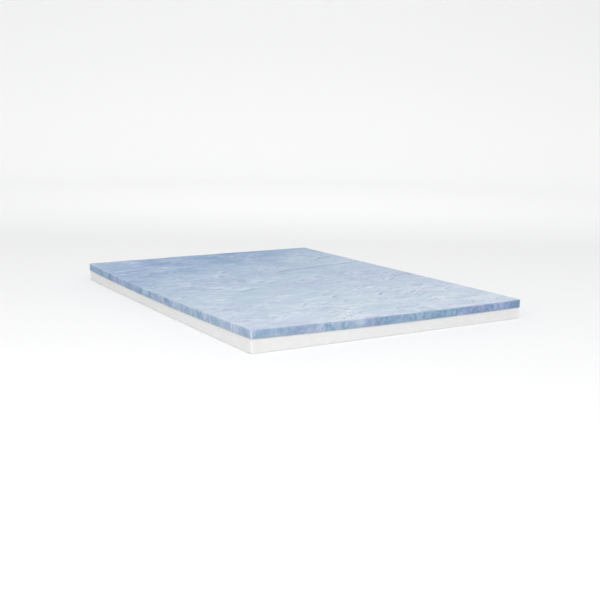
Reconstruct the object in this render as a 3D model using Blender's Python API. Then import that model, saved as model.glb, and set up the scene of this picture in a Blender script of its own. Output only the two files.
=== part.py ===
"""A two-layer foam mattress topper, queen size, lying flat.

A sheet of marbled gel foam is bonded on a thicker sheet of white support foam. Both are cut from slab foam, so
their corners and edges are only lightly rounded and their sides waver a little. The underside is flat. The top
is slightly uneven: it sinks along the foot end and the left side, twists from corner to corner, and has a few
broad hollows and many short creases in its skin.

Metres, +Z up. The origin is on the surface that the topper lies on, under the middle of its plan. X runs across
the topper and +Y points to its head end.
"""

from collections import namedtuple
from math import cos, exp, pi, radians, sin, sqrt

import bmesh
import bpy
from mathutils import Vector

OBJECT_NAME = "mattress_topper"

# Driving sizes: a queen size plan, and about 0.1 m of foam in two layers.
WIDTH = 1.524
LENGTH = 2.032
GEL_THICKNESS = 0.0408
BASE_THICKNESS = 0.0605
SEAM_GAP = 0.0003
BASE_INSET = 0.0035

# The cut corners and edges.
CORNER_RADIUS = 0.008
CORNER_STEPS = 4
EDGE_RADIUS = 0.0035
EDGE_STEPS = 2

# The grid that lets the faces follow the unevenness.
GRID_PITCH = 0.070
END_STRIP = 0.022
SAME_PLACE = 1e-6
SMOOTH_BELOW = radians(35)

# Unevenness of the whole topper, as heights of its top surface.
FOOT_SAG = 0.0060
LEFT_SAG = 0.0095
HEAD_CROWN = 0.0020
TWIST = 0.0040

# How far in from a side its own bow and waver reach.
SIDE_REACH = 0.25

HALF_WIDTH = WIDTH / 2
HALF_LENGTH = LENGTH / 2
SEAM_HEIGHT = BASE_THICKNESS + SEAM_GAP

# The plan's four sides. bow: how far the side's ends lie inside its middle. narrowing: how far its head end
# lies inside its foot end. waver: depth of a slow wave along the cut, with its wavelength and one crest.
Side = namedtuple("Side", "axis outward bow narrowing waver wavelength crest")
SIDES = {
    "left": Side(axis=0, outward=-1, bow=0.0070, narrowing=0.0, waver=0.0010, wavelength=0.83, crest=0.02),
    "right": Side(axis=0, outward=1, bow=0.0, narrowing=0.006, waver=0.0012, wavelength=0.71, crest=-1.01),
    "foot": Side(axis=1, outward=-1, bow=0.0020, narrowing=0.0, waver=0.0008, wavelength=0.64, crest=0.04),
    "head": Side(axis=1, outward=1, bow=0.0005, narrowing=0.0, waver=0.0010, wavelength=0.90, crest=-0.12),
}

# Broad hollows pressed into the top, and one low rise with a negative depth. across and along are the middle.
Hollow = namedtuple("Hollow", "across along length width heading depth")
HOLLOWS = (
    Hollow(across=-0.36, along=0.62, length=0.70, width=0.26, heading=8, depth=0.0022),
    Hollow(across=0.30, along=0.44, length=0.62, width=0.22, heading=-14, depth=0.0016),
    Hollow(across=0.02, along=-0.08, length=0.80, width=0.30, heading=24, depth=0.0024),
    Hollow(across=0.46, along=-0.46, length=0.46, width=0.20, heading=32, depth=0.0018),
    Hollow(across=-0.40, along=-0.50, length=0.56, width=0.24, heading=-10, depth=0.0015),
    Hollow(across=0.12, along=-0.66, length=0.50, width=0.26, heading=5, depth=-0.0012),
)

# Short soft creases in the top: a groove with a low lip along one side. across and along are the middle, heading
# is in degrees from the X axis, bend is how far the middle bows out, and width is half of the groove's own.
Crease = namedtuple("Crease", "across along length heading bend width depth")
CREASES = (
    Crease(across=-0.020, along=-0.530, length=0.085, heading=36, bend=0.004, width=0.009, depth=0.0040),
    Crease(across=0.235, along=-0.570, length=0.120, heading=43, bend=0.006, width=0.009, depth=0.0038),
    Crease(across=0.415, along=-0.585, length=0.135, heading=36, bend=-0.006, width=0.009, depth=0.0038),
    Crease(across=0.355, along=-0.550, length=0.080, heading=33, bend=0.004, width=0.009, depth=0.0026),
    Crease(across=0.345, along=-0.635, length=0.070, heading=30, bend=0.003, width=0.009, depth=0.0024),
    Crease(across=0.275, along=-0.690, length=0.140, heading=8, bend=-0.010, width=0.010, depth=0.0030),
    Crease(across=0.390, along=-0.700, length=0.140, heading=30, bend=0.008, width=0.009, depth=0.0018),
    Crease(across=0.650, along=-0.605, length=0.130, heading=30, bend=0.005, width=0.009, depth=0.0024),
    Crease(across=0.555, along=-0.245, length=0.160, heading=34, bend=0.010, width=0.011, depth=0.0030),
    Crease(across=-0.465, along=-0.585, length=0.070, heading=20, bend=0.004, width=0.010, depth=0.0030),
    Crease(across=-0.645, along=-0.560, length=0.060, heading=35, bend=0.000, width=0.010, depth=0.0024),
    Crease(across=-0.245, along=-0.620, length=0.060, heading=42, bend=0.003, width=0.009, depth=0.0026),
    Crease(across=-0.150, along=-0.655, length=0.120, heading=32, bend=0.006, width=0.009, depth=0.0022),
    Crease(across=-0.300, along=-0.170, length=0.200, heading=18, bend=0.008, width=0.012, depth=0.0028),
    Crease(across=-0.470, along=-0.305, length=0.080, heading=15, bend=0.000, width=0.011, depth=0.0022),
    Crease(across=-0.070, along=-0.410, length=0.090, heading=10, bend=0.008, width=0.010, depth=0.0024),
    Crease(across=-0.020, along=-0.455, length=0.070, heading=6, bend=0.004, width=0.009, depth=0.0024),
    Crease(across=-0.220, along=-0.840, length=0.110, heading=18, bend=0.006, width=0.009, depth=0.0026),
    Crease(across=-0.140, along=-0.905, length=0.090, heading=12, bend=0.004, width=0.009, depth=0.0018),
    Crease(across=0.375, along=-0.805, length=0.110, heading=16, bend=0.004, width=0.009, depth=0.0022),
    Crease(across=0.200, along=-0.935, length=0.090, heading=12, bend=0.004, width=0.009, depth=0.0020),
    Crease(across=-0.180, along=0.365, length=0.090, heading=40, bend=0.005, width=0.012, depth=0.0028),
    Crease(across=-0.255, along=0.255, length=0.110, heading=55, bend=0.006, width=0.011, depth=0.0026),
    Crease(across=-0.430, along=0.200, length=0.160, heading=10, bend=0.008, width=0.012, depth=0.0022),
    Crease(across=0.420, along=0.300, length=0.640, heading=9, bend=0.012, width=0.017, depth=0.0022),
    Crease(across=0.620, along=0.570, length=0.260, heading=26, bend=0.010, width=0.018, depth=0.0024),
    Crease(across=-0.620, along=0.645, length=0.230, heading=4, bend=0.006, width=0.018, depth=0.0026),
    Crease(across=-0.330, along=0.840, length=0.160, heading=20, bend=0.008, width=0.014, depth=0.0022),
)

# The lip's height as a share of the groove's depth, and its place in widths beside the groove.
LIP_HEIGHT = 0.45
LIP_PLACE = 1.9

# A crease's faces are divided at most this many times, and until they are this many widths across. Its groove and
# its lip reach this many widths to either side of its line.
CREASE_DIVISIONS = 3
CREASE_FACES = 1.5
GROOVE_REACH = 2.0
LIP_REACH = 3.4

# Finishes: linear colour and roughness.
Finish = namedtuple("Finish", "name colour roughness")
GEL_FOAM = Finish("marbled_gel_foam", (0.47, 0.60, 0.74), 0.80)
WHITE_FOAM = Finish("white_support_foam", (0.86, 0.85, 0.82), 0.90)


def clear_scene():
    """Remove what the scene holds at the start."""
    for old in list(bpy.data.objects):
        bpy.data.objects.remove(old, do_unlink=True)


def lying_height(x, y):
    """How far the lying topper stands above its mean height over a point of the plan."""
    across = x / HALF_WIDTH
    along = y / HALF_LENGTH
    to_foot = (1 - along) / 2
    to_head = (1 + along) / 2
    to_left = (1 - across) / 2
    twist = TWIST * across * along
    foot = FOOT_SAG * (1 - across**2) * to_foot**2
    left = LEFT_SAG * (1 - along**2) * to_left**2
    head = HEAD_CROWN * (1 - across**2) * to_head**2
    return twist - foot - left + head


def hollow_depth(x, y):
    """How deep the hollows of the top are at a point of the plan."""
    total = 0.0
    for hollow in HOLLOWS:
        turn = radians(hollow.heading)
        dx = x - hollow.across
        dy = y - hollow.along
        lengthwise = (dx * cos(turn) + dy * sin(turn)) / (hollow.length / 2)
        widthwise = (dy * cos(turn) - dx * sin(turn)) / (hollow.width / 2)
        total += hollow.depth * exp(-(lengthwise**2) - widthwise**2)
    return total


def crease_place(crease, x, y):
    """Where a point lies in a crease's own terms: from -1 to 1 along it, and its distance beside it."""
    turn = radians(crease.heading)
    dx = x - crease.across
    dy = y - crease.along
    run = (dx * cos(turn) + dy * sin(turn)) / (crease.length / 2)
    beside = dy * cos(turn) - dx * sin(turn) - crease.bend * (1 - run**2)
    return run, beside


def crease_depth(x, y):
    """How deep the creases of the top are at a point of the plan, negative on a lip."""
    total = 0.0
    for crease in CREASES:
        run, beside = crease_place(crease, x, y)
        if abs(run) < 1:
            groove = exp(-((beside / crease.width) ** 2))
            lip = exp(-((beside / crease.width - LIP_PLACE) ** 2))
            total += crease.depth * (1 - run**2) ** 2 * (groove - LIP_HEIGHT * lip)
    return total


def floor_surface(x, y):
    """Height of the flat underside in the base's own frame."""
    return 0.0


def base_top(x, y):
    """Height of the base's bonded face in the base's own frame."""
    return BASE_THICKNESS + lying_height(x, y)


def gel_bottom(x, y):
    """Height of the gel layer's bonded face in the layer's own frame."""
    return lying_height(x, y)


def gel_top(x, y):
    """Height of the lying surface in the gel layer's own frame."""
    return GEL_THICKNESS + lying_height(x, y) - hollow_depth(x, y) - crease_depth(x, y)


def inward_shift(side, point):
    """How far a point of the plan moves in from one of the sides."""
    halves = (HALF_WIDTH, HALF_LENGTH)
    across_side = point[side.axis]
    place = point[1 - side.axis]
    share = place / halves[1 - side.axis]
    wave = (1 - cos(2 * pi * (place - side.crest) / side.wavelength)) / 2
    shift = side.bow * share**2 + side.narrowing * (1 + share) / 2 + side.waver * wave
    distance = halves[side.axis] - side.outward * across_side
    nearness = max(0.0, 1 - distance / SIDE_REACH)
    return shift * nearness**2 * (3 - 2 * nearness)


def cut_place(x, y):
    """Where a point of the plain rectangle lies in the plan as it was cut."""
    place = [x, y]
    for side in SIDES.values():
        place[side.axis] -= side.outward * inward_shift(side, (x, y))
    return place


def plain_slab(width, length, thickness):
    """A plain closed slab that stands on z = 0 about the Z axis."""
    bm = bmesh.new()
    bmesh.ops.create_cube(bm, size=1.0)
    for vert in bm.verts:
        vert.co = Vector((vert.co.x * width, vert.co.y * length, (vert.co.z + 0.5) * thickness))
    return bm


def bevel(bm, edges, radius, steps):
    """Round the given edges to a radius."""
    bmesh.ops.bevel(
        bm, geom=edges, offset=radius, offset_type="OFFSET", segments=steps, profile=0.5, affect="EDGES"
    )


def is_upright(edge):
    """Whether an edge of the plain slab runs up and down."""
    return (edge.verts[0].co.xy - edge.verts[1].co.xy).length < SAME_PLACE


def is_rim(edge, thickness):
    """Whether an edge lies level round the top or the bottom face."""
    heights = [vert.co.z for vert in edge.verts]
    level = abs(heights[0] - heights[1]) < SAME_PLACE
    return level and min(heights[0], thickness - heights[0]) < SAME_PLACE


def round_slab(bm, thickness):
    """Round the four upright corners, then the rims of both faces."""
    bevel(bm, [edge for edge in bm.edges if is_upright(edge)], CORNER_RADIUS, CORNER_STEPS)
    bevel(bm, [edge for edge in bm.edges if is_rim(edge, thickness)], EDGE_RADIUS, EDGE_STEPS)


def grid_lines(half):
    """Places of the grid's lines along an axis, evenly spaced between narrow end strips."""
    first = END_STRIP - half
    steps = round(-2 * first / GRID_PITCH)
    return [first * (1 - 2 * step / steps) for step in range(steps + 1)]


def cut_grid(bm):
    """Divide a slab along the grid's lines, which both slabs share."""
    for axis, half in enumerate((HALF_WIDTH, HALF_LENGTH)):
        normal = Vector((0.0, 0.0, 0.0))
        normal[axis] = 1.0
        for place in grid_lines(half):
            everything = bm.verts[:] + bm.edges[:] + bm.faces[:]
            bmesh.ops.bisect_plane(
                bm, geom=everything, dist=SAME_PLACE, plane_co=normal * place, plane_no=normal
            )


def too_coarse(face):
    """Whether a face is too large for a crease that runs through it."""
    size = sqrt(face.calc_area())
    middle = face.calc_center_median()
    for crease in CREASES:
        run, beside = crease_place(crease, middle.x, middle.y)
        past_end = (abs(run) - 1) * crease.length / 2 > size / 2
        past_groove = beside + size / 2 < -GROOVE_REACH * crease.width
        past_lip = beside - size / 2 > LIP_REACH * crease.width
        if size > CREASE_FACES * crease.width and not (past_end or past_groove or past_lip):
            return True
    return False


def divide_creases(bm, thickness):
    """Divide the faces of the flat top where creases run."""
    for _ in range(CREASE_DIVISIONS):
        top = [face for face in bm.faces if min(vert.co.z for vert in face.verts) > thickness - SAME_PLACE]
        edges = {edge for face in top if too_coarse(face) for edge in face.edges}
        bmesh.ops.subdivide_edges(bm, edges=list(edges), cuts=1, use_grid_fill=True)


def lay_slab(bm, thickness, lower, upper):
    """Give a flat slab its cut outline, and its faces the heights of the lower and upper surfaces."""
    for vert in bm.verts:
        x, y, z = vert.co
        share = z / thickness
        height = lower(x, y) * (1 - share) + upper(x, y) * share
        vert.co = Vector((*cut_place(x, y), height))


def foam_material(finish):
    """A matt foam material of one colour."""
    material = bpy.data.materials.new(finish.name)
    material.use_nodes = True
    shader = material.node_tree.nodes["Principled BSDF"]
    shader.inputs["Base Color"].default_value = (*finish.colour, 1.0)
    shader.inputs["Roughness"].default_value = finish.roughness
    shader.inputs["Metallic"].default_value = 0.0
    return material


def add_slab(name, inset, thickness, surfaces, creased, finish):
    """Model one foam slab as a named object.

    inset is how far it stays inside the topper's plan on every side, surfaces are the functions for the heights
    of its lower and upper faces, and creased says whether the upper face has creases.
    """
    bm = plain_slab(WIDTH - 2 * inset, LENGTH - 2 * inset, thickness)
    round_slab(bm, thickness)
    cut_grid(bm)
    if creased:
        divide_creases(bm, thickness)
    lay_slab(bm, thickness, *surfaces)
    mesh = bpy.data.meshes.new(name)
    bm.to_mesh(mesh)
    bm.free()
    mesh.shade_smooth()
    mesh.set_sharp_from_angle(angle=SMOOTH_BELOW)
    mesh.materials.append(foam_material(finish))
    return bpy.data.objects.new(name, mesh)


def support_foam_base():
    """The white support foam, flat underneath, with the gel layer's seam on top."""
    return add_slab(
        "support_foam_base", BASE_INSET, BASE_THICKNESS, (floor_surface, base_top), False, WHITE_FOAM
    )


def gel_foam_layer():
    """The marbled gel foam that the sleeper lies on."""
    layer = add_slab("gel_foam_layer", 0.0, GEL_THICKNESS, (gel_bottom, gel_top), True, GEL_FOAM)
    layer.location.z = SEAM_HEIGHT
    return layer


def main():
    """Build the topper's layers on one empty at its origin."""
    clear_scene()
    collection = bpy.data.collections.new(OBJECT_NAME)
    bpy.context.scene.collection.children.link(collection)
    origin = bpy.data.objects.new(OBJECT_NAME + "_origin", None)
    collection.objects.link(origin)
    for layer in (support_foam_base(), gel_foam_layer()):
        layer.parent = origin
        collection.objects.link(layer)


if __name__ == "__main__":
    main()
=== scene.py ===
"""Looks of a two-layer foam mattress topper, queen size, lying flat.

The pale blue marbled gel foam and the white support foam under it are modelled as finely meshed slabs with
cut corners and edges, soft creases and slightly uneven faces, and dressed with procedural foam materials.
Metres, +Z up, X across the topper and +Y to its head end.
"""

from __future__ import annotations

import logging
from dataclasses import dataclass
from enum import Enum
from math import cos, pi, radians, sin
from random import Random
from typing import Callable

import bmesh
import bpy
import numpy as np
from mathutils import Matrix, Vector


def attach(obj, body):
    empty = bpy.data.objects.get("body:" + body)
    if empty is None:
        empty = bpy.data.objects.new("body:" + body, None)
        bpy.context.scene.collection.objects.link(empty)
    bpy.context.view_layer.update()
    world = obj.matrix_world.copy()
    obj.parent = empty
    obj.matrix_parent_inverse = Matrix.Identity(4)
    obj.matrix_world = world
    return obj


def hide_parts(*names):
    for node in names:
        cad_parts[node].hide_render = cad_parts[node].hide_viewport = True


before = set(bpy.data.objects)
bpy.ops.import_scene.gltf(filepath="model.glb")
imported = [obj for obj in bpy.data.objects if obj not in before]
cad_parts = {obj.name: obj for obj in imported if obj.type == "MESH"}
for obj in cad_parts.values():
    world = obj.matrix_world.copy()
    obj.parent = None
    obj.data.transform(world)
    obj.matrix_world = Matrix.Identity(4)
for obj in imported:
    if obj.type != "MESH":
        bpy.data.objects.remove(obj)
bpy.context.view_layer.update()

LOG = logging.getLogger("mattress_topper")

Points = np.ndarray
Span = tuple[float, float]
Place = tuple[float, float, float]
Colour = tuple[float, float, float]
ColourPair = tuple[Colour, Colour]
Socket = bpy.types.NodeSocket
Sockets = bpy.types.bpy_prop_collection
Value = Socket | float | Colour

FLOAT = "NodeSocketFloat"
VECTOR = "NodeSocketVector"
GroupInputs = tuple[tuple[str, str, float], ...]


class SlabSide(Enum):
    """The four cut sides of the topper, each with its axis and the direction that points outward."""

    LEFT = (0, -1)
    RIGHT = (0, 1)
    FOOT = (1, -1)
    HEAD = (1, 1)

    @property
    def axis(self) -> int:
        """The axis that this side faces: 0 across the topper, 1 along it."""
        return self.value[0]

    @property
    def outward(self) -> int:
        """The sign of the outward direction on that axis."""
        return self.value[1]


class MeshFineness(Enum):
    """How many cuts divide each cell of the coarse grid."""

    DRAFT = 2
    FULL = 6


# --------------------------------------------------------------------------- form of the lying topper


@dataclass(frozen=True)
class SideCut:
    """How one side strays from a straight cut, in metres.

    bow is how far its ends lie inside its middle, and narrowing how far its head end lies inside its foot
    end. waver is the depth of a slow wave along it, with that wave's length and the place of one crest.
    """

    side: SlabSide
    bow: float
    narrowing: float
    waver: float
    wavelength: float
    crest: float


@dataclass(frozen=True)
class SkinMark:
    """A mark in the lying surface: its middle, size and depth in metres, and heading in degrees from +X."""

    across: float
    along: float
    length: float
    width: float
    depth: float
    heading: float

    def local(self, x: Points, y: Points) -> tuple[Points, Points]:
        """Places in the mark's own terms.

        Args:
            x: Places across the topper.
            y: Places along it.

        Returns:
            How far along the mark each place is, from -1 to 1 at its ends, and its distance beside it.
        """
        turn = radians(self.heading)
        dx = x - self.across
        dy = y - self.along
        run = (dx * cos(turn) + dy * sin(turn)) / (self.length / 2)
        return run, dy * cos(turn) - dx * sin(turn)


@dataclass(frozen=True)
class Hollow(SkinMark):
    """A broad soft hollow, or a low rise if its depth is negative."""

    def sink(self, x: Points, y: Points) -> Points:
        """How far the surface sinks at places across and along the topper."""
        run, beside = self.local(x, y)
        return self.depth * np.exp(-(run**2) - (beside / (self.width / 2)) ** 2)


@dataclass(frozen=True)
class Crease(SkinMark):
    """A short soft crease: a groove with a low lip along one side.

    bend is how far its middle bows out, in metres, and half_tint the depth that gives half of its full
    painted shade in the groove and painted highlight on the lip. The lip's place and the reaches beside the
    crease are in its widths, end_reach in half lengths.
    """

    bend: float
    end_width: float = 0.4
    end_fade: float = 1.4
    lip_height: float = 0.45
    lip_place: float = 1.9
    half_tint: float = 0.0015
    end_reach: float = 1.05
    groove_reach: float = 2.2
    lip_reach: float = 4.0

    def local(self, x: Points, y: Points) -> tuple[Points, Points]:
        """Places in the terms of the bent crease."""
        run, beside = super().local(x, y)
        return run, beside - self.bend * (1 - run**2)

    def sink(self, x: Points, y: Points) -> Points:
        """How far the skin sinks.

        Args:
            x: Places across the topper.
            y: Places along it.

        Returns:
            The depth at each place, negative on the lip.
        """
        run, beside = self.local(x, y)
        inside = np.clip(1 - run**2, 0, 1)
        breadth = self.width * (self.end_width + (1 - self.end_width) * np.sqrt(inside))
        groove = np.exp(-((beside / breadth) ** 2))
        lip = np.exp(-((beside / breadth - self.lip_place) ** 2))
        return self.depth * inside**self.end_fade * (groove - self.lip_height * lip)

    def shade_and_highlight(self, x: Points, y: Points) -> Points:
        """How strongly the crease paints the skin: painted shade up to 1 in its groove, and painted highlight
        below 0 on its lip.
        """
        depth = self.sink(x, y)
        return depth / (np.abs(depth) + self.half_tint)

    def reaches(self, x: Points, y: Points) -> Points:
        """Whether the crease shapes the skin.

        Args:
            x: Places across the topper.
            y: Places along it.

        Returns:
            True for each place that it shapes.
        """
        run, beside = self.local(x, y)
        widths = beside / self.width
        return (np.abs(run) < self.end_reach) & (widths > -self.groove_reach) & (widths < self.lip_reach)


SIDE_CUTS = (
    SideCut(SlabSide.LEFT, bow=0.0070, narrowing=0.0, waver=0.0010, wavelength=0.83, crest=0.02),
    SideCut(SlabSide.RIGHT, bow=0.0, narrowing=0.006, waver=0.0012, wavelength=0.71, crest=-1.01),
    SideCut(SlabSide.FOOT, bow=0.0020, narrowing=0.0, waver=0.0008, wavelength=0.64, crest=0.04),
    SideCut(SlabSide.HEAD, bow=0.0005, narrowing=0.0, waver=0.0010, wavelength=0.90, crest=-0.12),
)

# The columns of these three tables: across, along, length, width, depth, heading and, for creases, bend.
HOLLOWS = (
    Hollow(-0.36, 0.62, 0.70, 0.26, 0.0022, 8),
    Hollow(0.30, 0.44, 0.62, 0.22, 0.0016, -14),
    Hollow(0.02, -0.08, 0.80, 0.30, 0.0024, 24),
    Hollow(0.46, -0.46, 0.46, 0.20, 0.0018, 32),
    Hollow(-0.40, -0.50, 0.56, 0.24, 0.0015, -10),
    Hollow(0.12, -0.66, 0.50, 0.26, -0.0012, 5),
)

MAIN_CREASES = (
    Crease(-0.020, -0.530, 0.085, 0.0078, 0.0040, 36, 0.004),
    Crease(0.235, -0.570, 0.120, 0.0076, 0.0038, 43, 0.006),
    Crease(0.415, -0.585, 0.135, 0.0078, 0.0038, 36, -0.006),
    Crease(0.355, -0.550, 0.080, 0.0070, 0.0026, 33, 0.004),
    Crease(0.345, -0.635, 0.070, 0.0062, 0.0024, 30, 0.003),
    Crease(0.275, -0.690, 0.140, 0.0070, 0.0030, 8, -0.010),
    Crease(0.390, -0.700, 0.140, 0.0062, 0.0018, 30, 0.008),
    Crease(0.650, -0.605, 0.130, 0.0070, 0.0024, 30, 0.005),
    Crease(0.555, -0.245, 0.160, 0.0076, 0.0030, 34, 0.010),
    Crease(-0.465, -0.585, 0.070, 0.0085, 0.0030, 20, 0.004),
    Crease(-0.645, -0.560, 0.060, 0.0085, 0.0024, 35, 0.000),
    Crease(-0.245, -0.620, 0.060, 0.0076, 0.0026, 42, 0.003),
    Crease(-0.150, -0.655, 0.120, 0.0062, 0.0022, 32, 0.006),
    Crease(-0.300, -0.170, 0.200, 0.0130, 0.0028, 18, 0.008),
    Crease(-0.470, -0.305, 0.080, 0.0076, 0.0022, 15, 0.000),
    Crease(-0.070, -0.410, 0.090, 0.0070, 0.0024, 10, 0.008),
    Crease(-0.020, -0.455, 0.070, 0.0062, 0.0024, 6, 0.004),
    Crease(-0.220, -0.840, 0.110, 0.0062, 0.0026, 18, 0.006),
    Crease(-0.140, -0.905, 0.090, 0.0062, 0.0018, 12, 0.004),
    Crease(0.375, -0.805, 0.110, 0.0062, 0.0022, 16, 0.004),
    Crease(0.200, -0.935, 0.090, 0.0062, 0.0020, 12, 0.004),
    Crease(-0.180, 0.365, 0.090, 0.0110, 0.0028, 40, 0.005),
    Crease(-0.255, 0.255, 0.110, 0.0100, 0.0026, 55, 0.006),
    Crease(-0.430, 0.200, 0.160, 0.0084, 0.0022, 10, 0.008),
    Crease(0.420, 0.300, 0.640, 0.0150, 0.0016, 9, 0.012),
    Crease(0.620, 0.570, 0.260, 0.0150, 0.0024, 26, 0.010),
    Crease(-0.620, 0.645, 0.230, 0.0170, 0.0026, 4, 0.006),
    Crease(-0.330, 0.840, 0.160, 0.0130, 0.0022, 20, 0.008),
)

FINE_CREASES = (
    Crease(0.150, 0.238, 0.150, 0.0120, 0.0014, 4, 0.005),
    Crease(0.310, 0.272, 0.130, 0.0110, 0.0016, 14, 0.005),
    Crease(0.640, 0.330, 0.260, 0.0140, 0.0018, 15, 0.004),
    Crease(0.270, -0.495, 0.085, 0.0060, 0.0018, 38, 0.005),
    Crease(0.355, -0.470, 0.095, 0.0065, 0.0014, 14, 0.004),
    Crease(0.395, -0.650, 0.120, 0.0065, 0.0016, 36, -0.004),
    Crease(0.460, -0.640, 0.090, 0.0060, 0.0014, 30, 0.005),
    Crease(0.270, -0.370, 0.080, 0.0075, 0.0016, 22, 0.006),
    Crease(0.520, -0.560, 0.080, 0.0065, 0.0012, 28, 0.004),
    Crease(-0.050, -0.480, 0.080, 0.0065, 0.0016, 36, 0.004),
    Crease(0.050, -0.400, 0.110, 0.0070, 0.0012, 30, 0.006),
    Crease(-0.480, -0.060, 0.230, 0.0150, 0.0014, -36, 0.006),
    Crease(-0.260, -0.360, 0.100, 0.0070, 0.0014, 38, 0.004),
    Crease(-0.190, -0.850, 0.080, 0.0060, 0.0016, 30, 0.004),
    Crease(0.310, -0.615, 0.110, 0.0065, 0.0014, 31, 0.005),
    Crease(0.115, -0.375, 0.070, 0.0070, 0.0012, -8, 0.004),
    Crease(0.700, -0.150, 0.100, 0.0090, 0.0014, 17, 0.004),
)


@dataclass(frozen=True)
class MinorCreases:
    """Small creases scattered over the skin, more of them towards the foot end if crowding is above 1."""

    count: int = 84
    seed: int = 41
    crowding: float = 1.5
    half_width: float = 0.70
    half_length: float = 0.95
    lengths: Span = (0.025, 0.085)
    mean_heading: float = 18.0
    heading_spread: float = 28.0
    bends: Span = (-0.008, 0.008)
    widths: Span = (0.006, 0.009)
    depths: Span = (0.0006, 0.0016)

    def scatter(self) -> list[Crease]:
        """Place the small creases.

        Returns:
            The creases, the same ones in every run.
        """
        dice = Random(self.seed)
        creases = []
        for _ in range(self.count):
            to_head = dice.random() ** self.crowding
            creases.append(
                Crease(
                    across=dice.uniform(-self.half_width, self.half_width),
                    along=self.half_length * (2 * to_head - 1),
                    length=dice.uniform(*self.lengths),
                    heading=dice.gauss(self.mean_heading, self.heading_spread),
                    bend=dice.uniform(*self.bends),
                    width=dice.uniform(*self.widths),
                    depth=dice.uniform(*self.depths),
                )
            )
        return creases


@dataclass(frozen=True)
class Ripples:
    """Slight random unevenness made of plane waves: how many, how long and how high they are."""

    count: int
    seed: int
    lengths: Span
    height: float

    def height_at(self, x: Points, y: Points) -> Points:
        """Height of the ripples.

        Args:
            x: Places along one direction.
            y: Places along the other.

        Returns:
            The height at each place.
        """
        dice = Random(self.seed)
        total = np.zeros_like(x)
        for _ in range(self.count):
            turn = dice.uniform(0, pi)
            wavelength = dice.uniform(*self.lengths)
            start = dice.uniform(0, 2 * pi)
            total += np.sin(2 * pi * (x * cos(turn) + y * sin(turn)) / wavelength + start)
        return total * self.height / self.count**0.5


@dataclass(frozen=True)
class LyingForm:
    """The unevenness that both layers share, as in their solids: how the topper sinks, crowns and twists."""

    half_width: float = 0.762
    half_length: float = 1.016
    foot_sag: float = 0.0060
    left_sag: float = 0.0095
    head_crown: float = 0.0020
    twist: float = 0.0040
    side_reach: float = 0.25

    def height(self, x: Points, y: Points) -> Points:
        """How far the topper stands above its mean height.

        Args:
            x: Places across the topper.
            y: Places along it.

        Returns:
            The height at each place.
        """
        across = x / self.half_width
        along = y / self.half_length
        to_foot = (1 - along) / 2
        to_head = (1 + along) / 2
        to_left = (1 - across) / 2
        foot = self.foot_sag * (1 - across**2) * to_foot**2
        left = self.left_sag * (1 - along**2) * to_left**2
        head = self.head_crown * (1 - across**2) * to_head**2
        return self.twist * across * along - foot - left + head

    def cut_outline(self, places: Points) -> Points:
        """Move points of the plain rectangle to where the cut outline takes them.

        Args:
            places: One row for each point, of its place across and along the topper.

        Returns:
            The moved points.
        """
        halves = (self.half_width, self.half_length)
        moved = places.copy()
        for cut in SIDE_CUTS:
            axis = cut.side.axis
            place = places[:, 1 - axis]
            share = place / halves[1 - axis]
            wave = (1 - np.cos(2 * pi * (place - cut.crest) / cut.wavelength)) / 2
            shift = cut.bow * share**2 + cut.narrowing * (1 + share) / 2 + cut.waver * wave
            distance = halves[axis] - cut.side.outward * places[:, axis]
            nearness = np.clip(1 - distance / self.side_reach, 0, 1)
            moved[:, axis] -= cut.side.outward * shift * nearness**2 * (3 - 2 * nearness)
        return moved


# --------------------------------------------------------------------------- modelling by hand


def start_editing(piece: bpy.types.Object, picking: str) -> None:
    """Open a piece for editing with nothing selected.

    Args:
        piece: The mesh object.
        picking: EDGE or FACE, what is to be selected.
    """
    bpy.ops.object.select_all(action="DESELECT")
    piece.select_set(True)
    bpy.context.view_layer.objects.active = piece
    bpy.ops.object.mode_set(mode="EDIT")
    bpy.ops.mesh.select_mode(type=picking)
    bpy.ops.mesh.select_all(action="DESELECT")


def stop_editing() -> None:
    """Go back to object mode."""
    bpy.ops.object.mode_set(mode="OBJECT")


def pick_edges(piece: bpy.types.Object, wanted: Callable[[Vector, Vector], bool]) -> None:
    """Select the edges that pass a test.

    Args:
        piece: The mesh object in edit mode.
        wanted: Takes an edge's two ends and says whether to select it.
    """
    bpy.ops.mesh.select_all(action="DESELECT")
    mesh = bmesh.from_edit_mesh(piece.data)
    for edge in mesh.edges:
        if wanted(edge.verts[0].co, edge.verts[1].co):
            edge.select_set(True)
    bmesh.update_edit_mesh(piece.data)


def points_of(piece: bpy.types.Object) -> Points:
    """Read the mesh's points.

    Args:
        piece: The mesh object.

    Returns:
        A row for each point.
    """
    flat = np.empty(len(piece.data.vertices) * 3, np.float32)
    piece.data.vertices.foreach_get("co", flat)
    return flat.reshape(-1, 3).astype(float)


def write_points(piece: bpy.types.Object, points: Points) -> None:
    """Give the mesh new places for its points.

    Args:
        piece: The mesh object.
        points: A row for each point.
    """
    piece.data.vertices.foreach_set("co", points.astype(np.float32).ravel())
    piece.data.update()


def write_attribute(piece: bpy.types.Object, name: str, values: Points) -> None:
    """Store a value for each point, for the materials to read.

    Args:
        piece: The mesh object.
        name: The attribute's name.
        values: One number for each point.
    """
    attribute = piece.data.attributes.new(name, "FLOAT", "POINT")
    attribute.data.foreach_set("value", values.astype(np.float32))


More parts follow.
